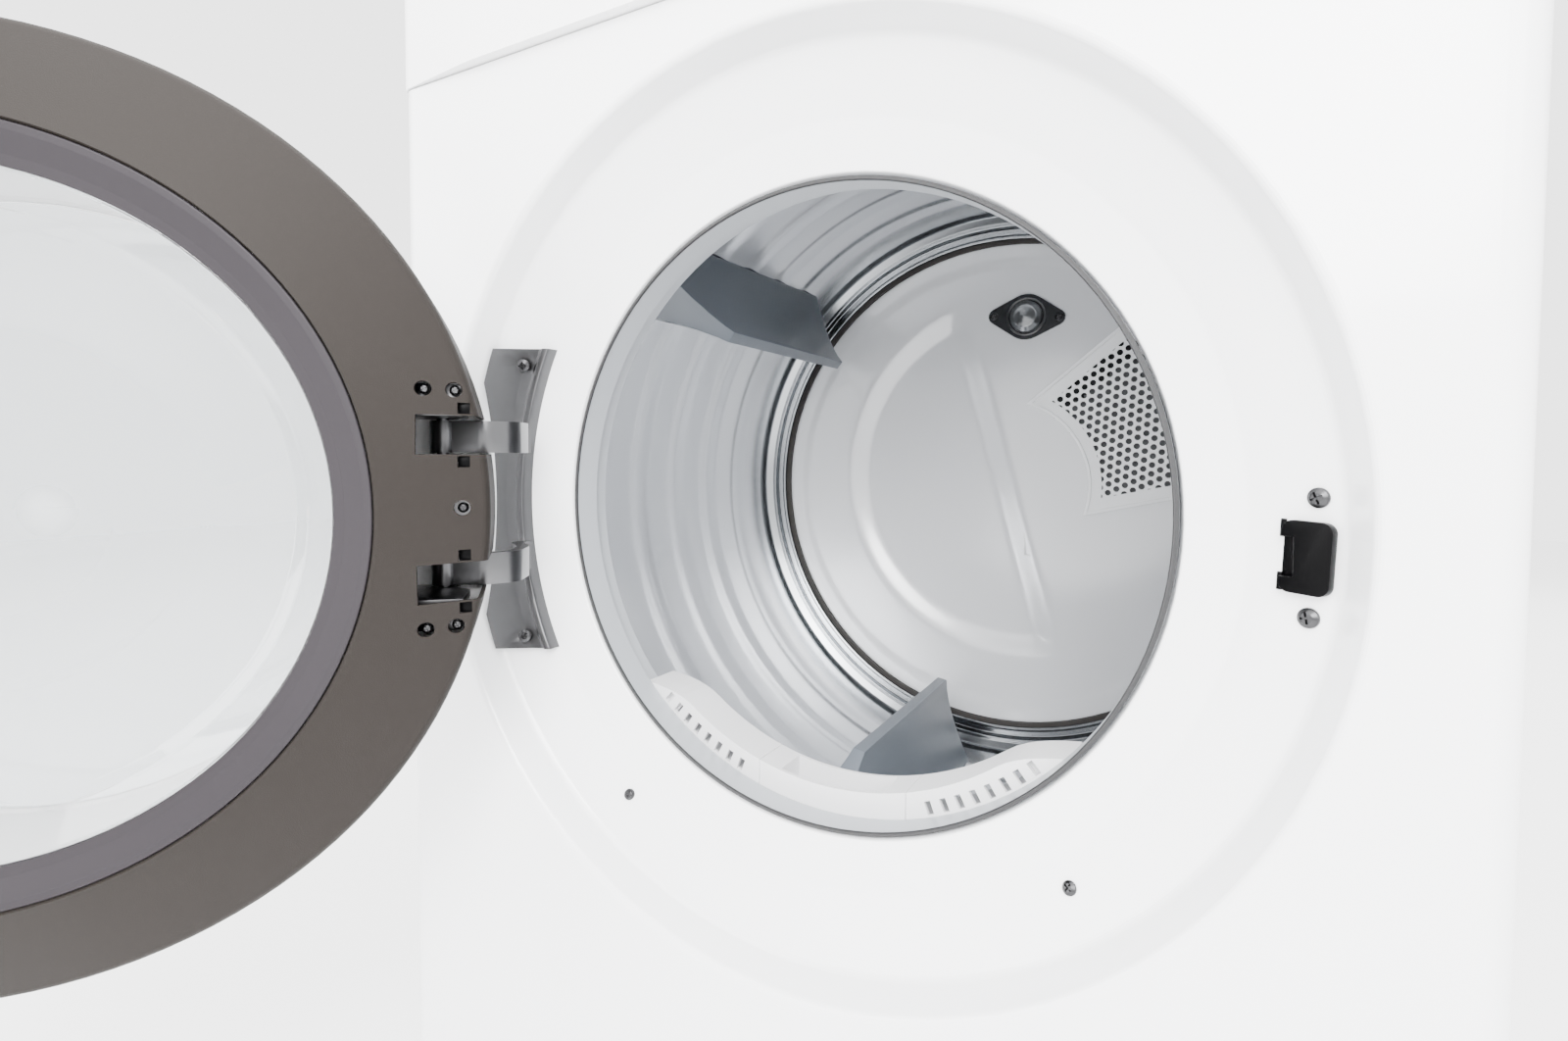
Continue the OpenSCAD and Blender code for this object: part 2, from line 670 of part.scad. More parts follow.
// Stepped ring that closes the drum in to the fixed disc.
ring_path = path_of([[drum_r, -ring_len], [drum_r, -12], [drum_r - 9, -6], [drum_r - 13, -6],
    [drum_r - 16, 0], [drum_r - 22, 0], [drum_r - 25, -5], [rear_disc_r + 3, -5], [rear_disc_r + 3, -1]],
    [0, 4, 2, 2, 1.5, 1.5, 1.5, 1.5, 0]);
module drum_rear_ring() color("silver") turned(drum_back_y) band(ring_path, -drum_t);

baffle_y = drum_front_y + 6;
baffle_len = shell_end_y - baffle_y - 34;
baffle_seat = fit;

// A baffle seen along the drum axis: wide foot, curved flanks, narrow crest.
function baffle_flank(side, h, foot, crest) =
    [for (i = [0:8]) let (k = i / 8) [side * (crest + (foot - crest) * pow(1 - k, 1.5)), k * h]];
module baffle_slice(h, foot, crest) polygon(concat(baffle_flank(1, h, foot, crest), reversed(baffle_flank(-1, h, foot, crest))));

module baffle(turn) color("lightslategray") difference() {
    translate([0, 0, axis_z]) rotate([0, -turn, 0]) intersection() {
        translate([0, baffle_y + baffle_len, 0]) rotate([90, 0, 0]) linear_extrude(baffle_len)
            translate([0, -drum_r - 4]) baffle_slice(baffle_h + 4, 46, 5);
        translate([-60, 0, 0]) rotate([90, 0, 90]) linear_extrude(120) polygon(ring_of(
            [[baffle_y, -drum_r - 5], [baffle_y + 5, -drum_r + 9], [baffle_y + baffle_len * 0.3, -drum_r + baffle_h - 5],
                [baffle_y + baffle_len * 0.93, -drum_r + baffle_h], [baffle_y + baffle_len, -drum_r - 5]], 3));
        rod(0, baffle_y - 10, 0, drum_r - baffle_seat, baffle_len + 20);
    }
}

module baffle_1() baffle(-10);
module baffle_2() baffle(110);
module baffle_3() baffle(230);

// ---- hinge ----------------------------------------------------------------------------------

closed_y = rim_y - 32 - door_gap;
pivot_x = -237.6;
pivot_y = closed_y - 57.9;
plate_t = 8;
plate_half_h = 117;
plate_in_r = crease_r;
plate_out_r = recess_r - 9;
plate_out_x = recess_r - 24;
arm_t = 9;
hinge_z = axis_z + 1.5;

plate_gap = 0.4;
plate_kink_r = 262;
plate_profile = path_of(
    [[plate_in_r + 2, dish_d(plate_in_r + 2) - plate_gap], [plate_in_r + 2, dish_d(plate_in_r + 2) - plate_t - 2.5],
        [plate_in_r + 6, dish_d(plate_in_r + 6) - plate_t - 2.5], [plate_in_r + 7.5, dish_d(plate_in_r + 7.5) - plate_t + 1],
        [plate_kink_r, dish_d(plate_kink_r) - plate_t + 1], [plate_out_r, dish_d(plate_out_r) - plate_t - 2],
        [plate_out_r, dish_d(plate_out_r) - plate_gap]],
    [0, 1.2, 1.2, 2, 8, 0, 0]);

arm_line = path_of([[0, 0], [24, 16], [31, 34], [16, 56], [-9, 72], [-9, 100]], [0, 14, 12, 14, 10, 0], 4);

module hinge_arm(z) {
    difference() {
        translate([pivot_x, pivot_y, hinge_z + z - arm_h / 2]) {
            linear_extrude(arm_h) intersection() {
                polygon(concat(beside(arm_line, arm_t / 2), reversed(beside(arm_line, -arm_t / 2))));
                translate([-60, -20]) square([120, dish_y(crease_r + 3) - pivot_y + 20 - 7]);
            }
            cylinder(r = hinge_pin_r + 4.5, h = arm_h);
        }
        translate([pivot_x, pivot_y, hinge_z + z - arm_h]) cylinder(r = hinge_pin_r + shaft_clear, h = 2 * arm_h);
    }
}

hinge_screws = [[-243, 106], [-243, -109]];

module hinge_bracket() color("silver") {
    difference() {
        intersection() {
            turned(front_y, 150, 60) polygon(plate_profile);
            translate([-plate_out_x, front_y - 20, axis_z - plate_half_h])
                cube([plate_out_x, 120, 2 * plate_half_h]);
        }
        for (p = hinge_screws) on_dish(p, 20) rotate([180, 0, 0]) cylinder(r = 2.4, h = 60);
    }
    for (z = [-arm_z, arm_z]) hinge_arm(z);
}

// Everything on the door is drawn closed and swung to the open position.
module on_door() translate([pivot_x, pivot_y, 0]) rotate([0, 0, -door_open])
    translate([-pivot_x, -pivot_y, 0]) children();

pocket_side = arm_h / 2 + 1.2;
ear_t = 4.5;
block_h = 2 * (pocket_side + ear_t);
front_plane_y = closed_y - door_t;
module hinge_pins() color("silver") on_door() for (z = [-arm_z, arm_z])
    translate([pivot_x, pivot_y, hinge_z + z - block_h / 2]) cylinder(r = hinge_pin_r, h = block_h);

// A fork round each arm, with a foot for two screws on its outer side.
module hinge_blocks() color("silver") on_door() for (side = [-1, 1]) difference() {
    translate([pivot_x, pivot_y, hinge_z + side * arm_z]) {
        translate([0, 0, -block_h / 2]) linear_extrude(block_h)
            polygon([[-9, -8], [20, -8], [24, -4], [41, -4], [41, 44], [30, 56], [-19, 56], [-19, 20], [-9, 8]]);
        translate([-19, 50, side > 0 ? pocket_side : -pocket_side - 20]) cube([27, 4, 20]);
    }
    translate([pivot_x - 80, pivot_y - 40, hinge_z + side * arm_z - pocket_side])
        cube([118, 140, 2 * pocket_side]);
    translate([pivot_x, pivot_y, hinge_z + side * arm_z - block_h]) cylinder(r = hinge_pin_r, h = 2 * block_h);
    for (p = door_screw_spots) rod(p.x, pivot_y, axis_z + p.y, 1.8, 100);
}

// ---- door -----------------------------------------------------------------------------------

frame_in_r = 213;
ring_in_r = 189.5;
bowl_r = 170;
skin_t = 2.5;

// Inner frame: side wall, rounded edge and the cone that lies in the recess.
frame_path = path_of([[door_r - 3, -door_t + 9], [door_r, 0], [frame_in_r, 28]], [0, 7, 0]);

pocket_x = pivot_x + 4.5;
module arm_slots() for (z = [-arm_z, arm_z])
    translate([-door_r - 30, front_plane_y + 8, hinge_z + z - pocket_side])
        cube([pocket_x + door_r + 30, 200, 2 * pocket_side]);

door_screw_spots = [[-237, 75.5], [-253.5, 75.5], [-258, 2], [-237, -72.5], [-253.5, -72.5]];
door_peg_spots = [for (side = [-1, 1], by = [-1, 1]) [-259, 1.5 + side * arm_z + by * (pocket_side + 4.5)]];

module door_inner_frame() color("#77716d") on_door() difference() {
    turned(closed_y) band(frame_path, skin_t);
    arm_slots();
    for (p = door_screw_spots) rod(p.x, front_plane_y + 20, axis_z + p.y, 4.7, 100);
    translate([strike_x - 4.5, closed_y - 10, axis_z + latch_z - 6.5]) cube([4, 60, 13]);
    for (p = door_peg_spots) translate([p.x - 3.5, front_plane_y + 20, axis_z + p.y - 3.5]) cube([7, 100, 7]);
}

module door_ring() color("#8d8a94") on_door() turned(closed_y) polygon(path_of(
    [[frame_in_r - 1.4, 22], [frame_in_r - 1.4, 27.5], [frame_in_r - 6, 27], [ring_in_r + 6, 21.5], [ring_in_r, 20.5],
        [ring_in_r, 17.5], [ring_in_r + 8, 17.5]], [0, 1, 2, 2, 0.5, 0, 0]));

bowl_path = path_of([[ring_in_r + 4, 16.8], [ring_in_r - 1.5, 16.8], [bowl_r, 0.6], [bowl_r - 8, -5], [110, -20],
    [60, -24], [0, -24]], [0, 2, 4, 6, 60, 20, 0]);
module door_bowl() color("aliceblue") on_door() turned(closed_y) band(bowl_path, 3.5);

outer_path = path_of([[198, -door_t + 4], [205, -door_t], [door_r - 9, -door_t], [door_r - 3, -door_t + 7]],
    [0, 4, 5, 0]);
module door_outer_frame() color("white") on_door() {
    turned(closed_y) band(outer_path, skin_t);
    turned(closed_y) polygon([[ring_in_r + 4.2, -door_t + 10], [ring_in_r + 7, -door_t + 10], [ring_in_r + 7, 17], [ring_in_r + 4.2, 17]]);
    turned(closed_y) polygon([[ring_in_r + 4.2, -door_t + 10], [206, -door_t + 10], [206, -door_t + 7], [ring_in_r + 4.2, -door_t + 7]]);
    for (a = [0:45:315]) if (a != 180) turned(closed_y, a - 1, 2)
        polygon([[ring_in_r + 7, -door_t + 8], [door_r - 14, -door_t + 8], [door_r - 14, -door_t + 3], [204, -door_t + 3], [204, -door_t + 7], [ring_in_r + 7, -door_t + 7]]);
}

module door_trim_ring() color("gainsboro") on_door() turned(closed_y) polygon(path_of(
    [[198, -door_t + 3.6], [192, -door_t + 1.5], [193, -door_t - 3], [199, -door_t - 4], [204.6, -door_t - 0.6]],
    [0, 1, 2, 2, 0]));

module door_window() color("lightsteelblue") on_door() turned(closed_y) polygon(path_of(
    [[0, -door_t - 6], [120, -door_t - 5], [191.6, -door_t - 1], [191.6, -door_t + 3], [120, -door_t - 1], [0, -door_t - 2]],
    [0, 200, 0, 0, 200, 0]));

module pan_head(r, h) rotate_extrude() polygon(path_of([[0, 0], [r, 0], [r, h * 0.45], [r * 0.55, h], [0, h]],
    [0, 0, h * 0.3, h * 0.3, 0]));

frame_cone = atan(28 / (door_r - frame_in_r));
function cone_y(r) = closed_y + (door_r - r) * 28 / (door_r - frame_in_r);

module door_screws() color("silver") on_door() for (p = door_screw_spots)
    translate([p.x, cone_y(norm(p)) - 6, axis_z + p.y]) rotate([-90, 0, 0]) difference() {
        union() {
            pan_head(3.3, 2.4);
            translate([0, 0, -12]) cylinder(r = 1.8, h = 12.5);
        }
        for (a = [30, 120]) rotate(a) translate([-2, -0.45, 1]) cube([4, 0.9, 2]);
    }

latch_x = 273;
latch_z = -10.5;
strike_x = 262;
module door_strike() color("silver") on_door() {
    plate(cone_y(strike_x) - skin_t - 7, 3) translate([strike_x - 6, axis_z + latch_z]) square([10, 40], center = true);
    difference() {
        translate([strike_x - 4, cone_y(strike_x) - skin_t - 5, axis_z + latch_z - 6]) cube([3, 26, 12]);
        translate([strike_x - 5, cone_y(strike_x) + 7, axis_z + latch_z - 3]) cube([5, 6, 6]);
    }
}

// ---- latch, screws and small fittings --------------------------------------------------------

latch_w = 22;
latch_h = 34;
latch_at = [latch_x - 1, latch_z];
module latch_cover() color("black") difference() {
    union() {
        on_dish(latch_at, 0.8) linear_extrude(5) rounded_rect(latch_w, latch_h, 5);
        on_dish(latch_at, -16) linear_extrude(18) rounded_rect(latch_w - 4, latch_h - 6, 3);
    }
    translate([strike_x - 8, closed_y, axis_z + latch_z - 9.5]) cube([11, 28, 19]);
}

module pan_screw(r, len) difference() {
    union() {
        pan_head(r, r * 0.62);
        translate([0, 0, -len]) cylinder(r = r * 0.45, h = len + 0.5);
    }
    for (a = [20, 110]) rotate(a) translate([-r * 0.6, -0.55, r * 0.25]) cube([r * 1.2, 1.1, r]);
}

floor_screws = [[-143, -217], [168, -200]];
latch_screws = [[274.5, 17.5], [272, -38.5]];
lamp_screw_x = 38;
module panel_screws() color("silver") {
    for (p = floor_screws) on_dish(p, 0.1) pan_screw(4, 6);
    for (p = latch_screws) on_dish(p, 0.15) pan_screw(4.8, 6);
    for (p = hinge_screws) on_dish(p, 8.4) pan_screw(5, 12);
    for (x = [-1, 1] * lamp_screw_x) translate([lamp_x + x * cos(5), disc_y - 3, axis_z + lamp_z - x * sin(5)])
        rotate([90, 0, 0]) pan_screw(4.4, 5);
}

module terminal_block() color("ivory") {
    plate(back_y - 22, 20) translate([terminal_x, terminal_z]) square([56, 34], center = true);
    for (x = [-18, 0, 18]) rod(terminal_x + x, back_y - 2, terminal_z, 5, 4);
}

module foot(x, y) color("gray") translate([x, y, 0]) {
    translate([0, 0, -foot_h]) rotate_extrude() polygon(path_of(
        [[0, 0], [19, 0], [19, 7], [11, foot_h - 7], [11, foot_h - 1], [0, foot_h - 1]], [0, 2, 3, 3, 0, 0]));
    translate([0, 0, -2]) cylinder(r = stud_r, h = 24);
}
module foot_front_left() foot(-foot_x, -foot_y);
module foot_front_right() foot(foot_x, -foot_y);
module foot_rear_left() foot(-foot_x, foot_y);
module foot_rear_right() foot(foot_x, foot_y);

base_pan();
left_side_panel();
right_side_panel();
rear_panel();
top_panel();
front_panel();
control_fascia();
display_window();
control_board();
front_bulkhead();
opening_collar();
rim_gasket();
filter_housing();
lint_filter();
rear_bulkhead();
inlet_grille();
lamp_flange();
lamp_lens();
heater_housing();
heater_coil();
blower_housing();
exhaust_duct();
motor_body();
motor_rotor();
blower_wheel();
roller_shafts();
roller_front_left();
roller_front_right();
roller_rear_left();
roller_rear_right();
idler_arm();
idler_pulley();
drive_belt();
felt_seals();
drum_shell();
drum_rear_ring();
baffle_1();
baffle_2();
baffle_3();
hinge_bracket();
hinge_pins();
hinge_blocks();
door_inner_frame();
door_ring();
door_bowl();
door_outer_frame();
door_trim_ring();
door_window();
door_screws();
door_strike();
latch_cover();
panel_screws();
terminal_block();
control_knob();
power_button();
start_button();
foot_front_left();
foot_front_right();
foot_rear_left();
foot_rear_right();
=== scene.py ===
# %% [markdown]
# # A front-loading clothes dryer, door open
# The dryer arrives as a finished mechanical model. This lesson gives it its looks: enamel, plastic,
# steel, rubber and glass, a few softly pressed sheets that are easier to shape here than in a
# machine drawing, and a plain bright studio.

# %% Load the machine
import json
import math
import bmesh
import bpy
from mathutils import Matrix, Vector


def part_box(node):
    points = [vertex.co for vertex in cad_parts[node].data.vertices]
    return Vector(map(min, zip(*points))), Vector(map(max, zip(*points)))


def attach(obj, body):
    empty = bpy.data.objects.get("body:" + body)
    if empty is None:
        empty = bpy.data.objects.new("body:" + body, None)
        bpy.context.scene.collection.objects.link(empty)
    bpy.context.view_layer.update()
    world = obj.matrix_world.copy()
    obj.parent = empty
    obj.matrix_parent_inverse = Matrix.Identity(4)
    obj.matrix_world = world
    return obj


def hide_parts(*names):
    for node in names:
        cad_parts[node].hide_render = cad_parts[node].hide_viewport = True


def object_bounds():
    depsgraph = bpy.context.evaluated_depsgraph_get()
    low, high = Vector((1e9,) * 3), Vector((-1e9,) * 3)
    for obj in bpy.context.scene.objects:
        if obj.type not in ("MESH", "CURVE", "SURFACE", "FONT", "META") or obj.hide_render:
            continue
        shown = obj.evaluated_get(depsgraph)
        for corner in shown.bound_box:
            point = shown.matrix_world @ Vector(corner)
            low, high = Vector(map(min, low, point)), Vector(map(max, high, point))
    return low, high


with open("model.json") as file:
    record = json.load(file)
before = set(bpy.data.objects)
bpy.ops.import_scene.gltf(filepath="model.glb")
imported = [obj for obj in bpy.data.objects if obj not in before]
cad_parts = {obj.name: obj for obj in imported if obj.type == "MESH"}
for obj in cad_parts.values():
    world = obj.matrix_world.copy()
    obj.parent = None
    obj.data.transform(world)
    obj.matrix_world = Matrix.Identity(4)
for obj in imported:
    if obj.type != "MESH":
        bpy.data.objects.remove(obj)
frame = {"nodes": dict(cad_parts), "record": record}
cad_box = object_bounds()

nodes = frame["nodes"]
print("nodes:", len(nodes), "box:", [[round(v, 3) for v in c] for c in cad_box])

# %% [markdown]
# ## The camera
# The drum is seen from close by with a wide lens, from a little right of the middle and turned to
# the left, so that the open door fills the left side. The lens is shifted a hair downwards.

# %% Camera
CAMERA_AT = (0.2334, -0.7499, 0.5164)
TURN_LEFT, LOOK_DOWN, ROLL = 29.21, 2.23, 0.26

camera_data = bpy.data.cameras.new("camera")
camera = bpy.data.objects.new("camera", camera_data)
bpy.context.scene.collection.objects.link(camera)
camera_data.sensor_width = 36
camera_data.lens = 17.81
camera_data.shift_y = -0.023
camera_data.clip_start = 0.01
turn = (Matrix.Rotation(math.radians(TURN_LEFT), 4, "Z")
        @ Matrix.Rotation(math.radians(90 - LOOK_DOWN), 4, "X")
        @ Matrix.Rotation(math.radians(ROLL), 4, "Z"))
camera.matrix_world = Matrix.Translation(CAMERA_AT) @ turn
bpy.context.scene.camera = camera
print("camera at", CAMERA_AT)

# %% [markdown]
# ## Finishes
# Every surface gets a small amount of unevenness. One helper builds a finish from a colour, a
# roughness and a metal value, then lets noise move the roughness and the colour a little and
# press a fine bump into the surface. The patterns read object coordinates, so they keep
# their real size in metres.

# %% A helper for finishes
def finish(name, colour, rough, metal=0.0, grain=900.0, bump=0.02, rough_play=0.06,
           colour_play=0.03, stretch=(1, 1, 1), **sockets):
    """A surface whose roughness, colour and height wander slightly."""
    mat = bpy.data.materials.new(name)
    mat.use_nodes = True
    tree = mat.node_tree
    shader = tree.nodes["Principled BSDF"]
    shader.inputs["Metallic"].default_value = metal
    for socket, value in sockets.items():
        shader.inputs[socket.replace("_", " ")].default_value = value
    coords = tree.nodes.new("ShaderNodeTexCoord")
    mapping = tree.nodes.new("ShaderNodeMapping")
    mapping.inputs["Scale"].default_value = stretch
    tree.links.new(coords.outputs["Object"], mapping.inputs["Vector"])

    broad = tree.nodes.new("ShaderNodeTexNoise")
    broad.inputs["Scale"].default_value = 9.0
    broad.inputs["Detail"].default_value = 5.0
    tree.links.new(mapping.outputs["Vector"], broad.inputs["Vector"])
    fine = tree.nodes.new("ShaderNodeTexNoise")
    fine.inputs["Scale"].default_value = grain
    fine.inputs["Detail"].default_value = 3.0
    tree.links.new(mapping.outputs["Vector"], fine.inputs["Vector"])

    spread = tree.nodes.new("ShaderNodeMapRange")
    spread.inputs["To Min"].default_value = max(0.02, rough - rough_play)
    spread.inputs["To Max"].default_value = min(1.0, rough + rough_play)
    tree.links.new(broad.outputs["Fac"], spread.inputs["Value"])
    tree.links.new(spread.outputs["Result"], shader.inputs["Roughness"])

    tint = tree.nodes.new("ShaderNodeMix")
    tint.data_type = "RGBA"
    tint.inputs["A"].default_value = (*[c * (1 - colour_play) for c in colour], 1)
    tint.inputs["B"].default_value = (*[min(1.0, c * (1 + colour_play)) for c in colour], 1)
    tree.links.new(broad.outputs["Fac"], tint.inputs["Factor"])
    tree.links.new(tint.outputs["Result"], shader.inputs["Base Color"])

    height = tree.nodes.new("ShaderNodeBump")
    height.inputs["Strength"].default_value = bump
    height.inputs["Distance"].default_value = 0.001
    tree.links.new(fine.outputs["Fac"], height.inputs["Height"])
    tree.links.new(height.outputs["Normal"], shader.inputs["Normal"])
    return mat

def glass_finish(name, colour, rough, clear, **more):
    """Clear moulded glass with a faint ripple."""
    mat = finish(name, colour, rough, bump=0.01, grain=40.0, rough_play=0.01, **more)
    shader = mat.node_tree.nodes["Principled BSDF"]
    shader.inputs["Transmission Weight"].default_value = clear
    shader.inputs["IOR"].default_value = 1.48
    return mat

def ribbed(mat, pitch, depth, axis="Z"):
    """Adds shallow parallel grooves to a finish's height."""
    tree = mat.node_tree
    bump = next(n for n in tree.nodes if n.bl_idname == "ShaderNodeBump")
    coords = next(n for n in tree.nodes if n.bl_idname == "ShaderNodeTexCoord")
    wave = tree.nodes.new("ShaderNodeTexWave")
    wave.bands_direction = axis
    wave.inputs["Scale"].default_value = 0.314 / pitch
    wave.inputs["Distortion"].default_value = 0.0
    tree.links.new(coords.outputs["Object"], wave.inputs["Vector"])
    second = tree.nodes.new("ShaderNodeBump")
    second.inputs["Strength"].default_value = 0.5
    second.inputs["Distance"].default_value = depth
    tree.links.new(wave.outputs["Fac"], second.inputs["Height"])
    tree.links.new(bump.outputs["Normal"], second.inputs["Normal"])
    shader = tree.nodes["Principled BSDF"]
    tree.links.new(second.outputs["Normal"], shader.inputs["Normal"])

# %% [markdown]
# ## One finish for each kind of surface
# The cabinet is white enamel on steel, the door's inside is a taupe plastic with a fine grain, the
# drum is bright steel with its brushing running round, the baffles are blue-grey plastic, and
# the hinge is a plated casting.

# %% The finishes
white_enamel = finish("white_enamel", (0.84, 0.845, 0.855), 0.24, grain=260, bump=0.012,
                      colour_play=0.006,
                      Coat_Weight=0.4, Coat_Roughness=0.08)
white_plastic = finish("white_plastic", (0.86, 0.86, 0.865), 0.28, grain=700, bump=0.02,
                       colour_play=0.006)
collar_plastic = finish("collar_plastic", (0.30, 0.315, 0.335), 0.34, grain=900, bump=0.03)
lip_plastic = finish("lip_plastic", (0.60, 0.60, 0.61), 0.36, grain=1100, bump=0.05,
                     colour_play=0.012)
zinc_sheet = finish("zinc_sheet", (0.58, 0.59, 0.60), 0.38, metal=0.85, grain=60, bump=0.05,
                    colour_play=0.08)
black_gloss = finish("black_gloss", (0.001, 0.001, 0.0012), 0.3, grain=300, bump=0.01,
                     Specular_IOR_Level=0.05)
board_lacquer = finish("board_lacquer", (0.02, 0.13, 0.05), 0.35, grain=400)
gasket_rubber = finish("gasket_rubber", (0.012, 0.012, 0.013), 0.6, grain=1500, bump=0.15)
disc_enamel = finish("disc_enamel", (0.64, 0.65, 0.67), 0.2, metal=0.05, grain=120, bump=0.02,
                     colour_play=0.01,
                     Coat_Weight=0.5, Coat_Roughness=0.14)
grille_plastic = finish("grille_plastic", (0.84, 0.85, 0.86), 0.3, grain=900, bump=0.03)
# painted shade: the dark grey seen through the grille's holes on the inlet pocket's floor
inlet_painted_shade = finish("inlet_painted_shade", (0.13, 0.133, 0.137), 0.5, grain=500, bump=0.05)
lamp_plastic = finish("lamp_plastic", (0.05, 0.052, 0.055), 0.24, metal=0.8, grain=600, bump=0.05)
lens_frost = finish("lens_frost", (0.16, 0.165, 0.17), 0.16, metal=0.7, grain=90, bump=0.5)
coil_metal = finish("coil_metal", (0.09, 0.08, 0.08), 0.6, metal=0.6, grain=500, bump=0.3)
motor_paint = finish("motor_paint", (0.12, 0.125, 0.13), 0.5, metal=0.3, grain=300, bump=0.2)
bright_steel = finish("bright_steel", (0.16, 0.16, 0.165), 0.3, metal=1.0, grain=700, bump=0.06)
fan_plastic = finish("fan_plastic", (0.7, 0.7, 0.69), 0.5, grain=600, bump=0.1)
tread_rubber = finish("tread_rubber", (0.03, 0.03, 0.03), 0.7, grain=900, bump=0.3)
belt_rubber = finish("belt_rubber", (0.015, 0.015, 0.015), 0.6, grain=500, bump=0.4)
wool_felt = finish("wool_felt", (0.045, 0.042, 0.04), 0.95, grain=1400, bump=0.8, colour_play=0.15)
drum_steel = finish("drum_steel", (0.66, 0.675, 0.70), 0.2, metal=0.95, grain=420, bump=0.05,
                    rough_play=0.1,
                    stretch=(0.06, 1, 0.06), colour_play=0.04)
ring_steel = finish("ring_steel", (0.24, 0.25, 0.26), 0.16, metal=1.0, grain=420, bump=0.03,
                    rough_play=0.05,
                    stretch=(0.06, 1, 0.06))
baffle_plastic = finish("baffle_plastic", (0.105, 0.12, 0.14), 0.3, grain=800, bump=0.06,
                        colour_play=0.06)
hinge_chrome = finish("hinge_chrome", (0.10, 0.10, 0.103), 0.3, metal=1.0, grain=200, bump=0.05,
                      rough_play=0.08)
door_taupe = finish("door_taupe", (0.017, 0.0145, 0.013), 0.5, grain=1400, bump=0.10,
                    colour_play=0.05,
                    Specular_IOR_Level=0.08)
door_mauve = finish("door_mauve", (0.021, 0.0185, 0.021), 0.42, grain=700, bump=0.04,
                    colour_play=0.05,
                    Specular_IOR_Level=0.12)
bowl_glass = glass_finish("bowl_glass", (0.97, 0.98, 0.985), 0.02, 0.98)
window_glass = glass_finish("window_glass", (0.75, 0.78, 0.8), 0.03, 0.8)
terminal_plastic = finish("terminal_plastic", (0.6, 0.56, 0.45), 0.5)
button_satin = finish("button_satin", (0.5, 0.5, 0.52), 0.3, metal=0.6, grain=800, bump=0.03)
foot_plastic = finish("foot_plastic", (0.06, 0.06, 0.065), 0.6, grain=700, bump=0.15)

screw_steel = finish("screw_steel", (0.055, 0.055, 0.057), 0.28, metal=1.0, grain=700, bump=0.06)
ribbed(fan_plastic, 0.008, 0.0006, "X")
ribbed(belt_rubber, 0.0035, 0.0008, "Y")
ribbed(foot_plastic, 0.004, 0.0006, "X")

SLOT_FINISH = {
    "white_panel": white_enamel, "white_plastic": white_plastic, "galvanised": zinc_sheet,
    "display_black": black_gloss, "board_green": board_lacquer, "grey_plastic": collar_plastic,
    "gasket_black": gasket_rubber, "pale_plastic": lip_plastic, "disc_white": disc_enamel,
    "grille_white": grille_plastic, "lamp_grey": lamp_plastic, "lens_clear": lens_frost,
    "coil_dark": coil_metal, "motor_grey": motor_paint, "steel": bright_steel,
    "wheel_white": fan_plastic, "roller_rubber": tread_rubber, "belt_rubber": belt_rubber,
    "felt": wool_felt, "drum_steel": drum_steel, "baffle_blue": baffle_plastic,
    "hinge_chrome": hinge_chrome, "door_taupe": door_taupe, "ring_mauve": door_mauve,
    "bowl_glass": bowl_glass, "window_glass": window_glass, "latch_black": black_gloss,
    "terminal_ivory": terminal_plastic, "button_silver": button_satin, "foot_grey": foot_plastic,
}
print("finishes:", len(SLOT_FINISH))

# %% Give every machine part its finish
slot_of = {part["node"]: part["material_slot"] for part in frame["record"]["subparts"]}
for name, thing in nodes.items():
    for part_slot in thing.material_slots:
        part_slot.material = SLOT_FINISH[slot_of[name]]
for name, used in (("drum_rear_ring", ring_steel), ("panel_screws", screw_steel), ("door_screws",
                                                                                   screw_steel)):
    for part_slot in nodes[name].material_slots:
        part_slot.material = used
print("parts finished:", len(slot_of))

# %% [markdown]
# ## Helpers for new pieces
# A mesh becomes an object that rides on one of the machine's bodies. A lathe turns an outline
# about the drum's axis, and a softened copy of a machine part gets rounded edges.

# %% Helpers for new pieces
AXIS_Z, DISC_Y, DRUM_FRONT_Y = 0.480, 0.210, -0.240

def placed(name, mesh, body, finish_used, crease=35):
    """A mesh made into an object that rides on one of the machine's bodies."""
    bmesh.ops.recalc_face_normals(mesh, faces=mesh.faces)
    data = bpy.data.meshes.new(name)
    mesh.to_mesh(data)
    mesh.free()
    data.shade_smooth()
    data.set_sharp_from_angle(angle=math.radians(crease))
    data.materials.append(finish_used)
    piece = bpy.data.objects.new(name, data)
    bpy.context.scene.collection.objects.link(piece)
    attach(piece, body)
    return piece

def lathe(outline, steps=192):
    """A closed outline of (radius, y) turned about the drum's axis."""
    mesh = bmesh.new()
    points = [mesh.verts.new((r, y, AXIS_Z)) for r, y in outline]
    edges = [mesh.edges.new((a, b)) for a, b in zip(points, points[1:] + points[:1])]
    bmesh.ops.spin(mesh, geom=points + edges, cent=(0, 0, AXIS_Z), axis=(0, 1, 0),
                   angle=math.tau, steps=steps, use_merge=True)
    return mesh

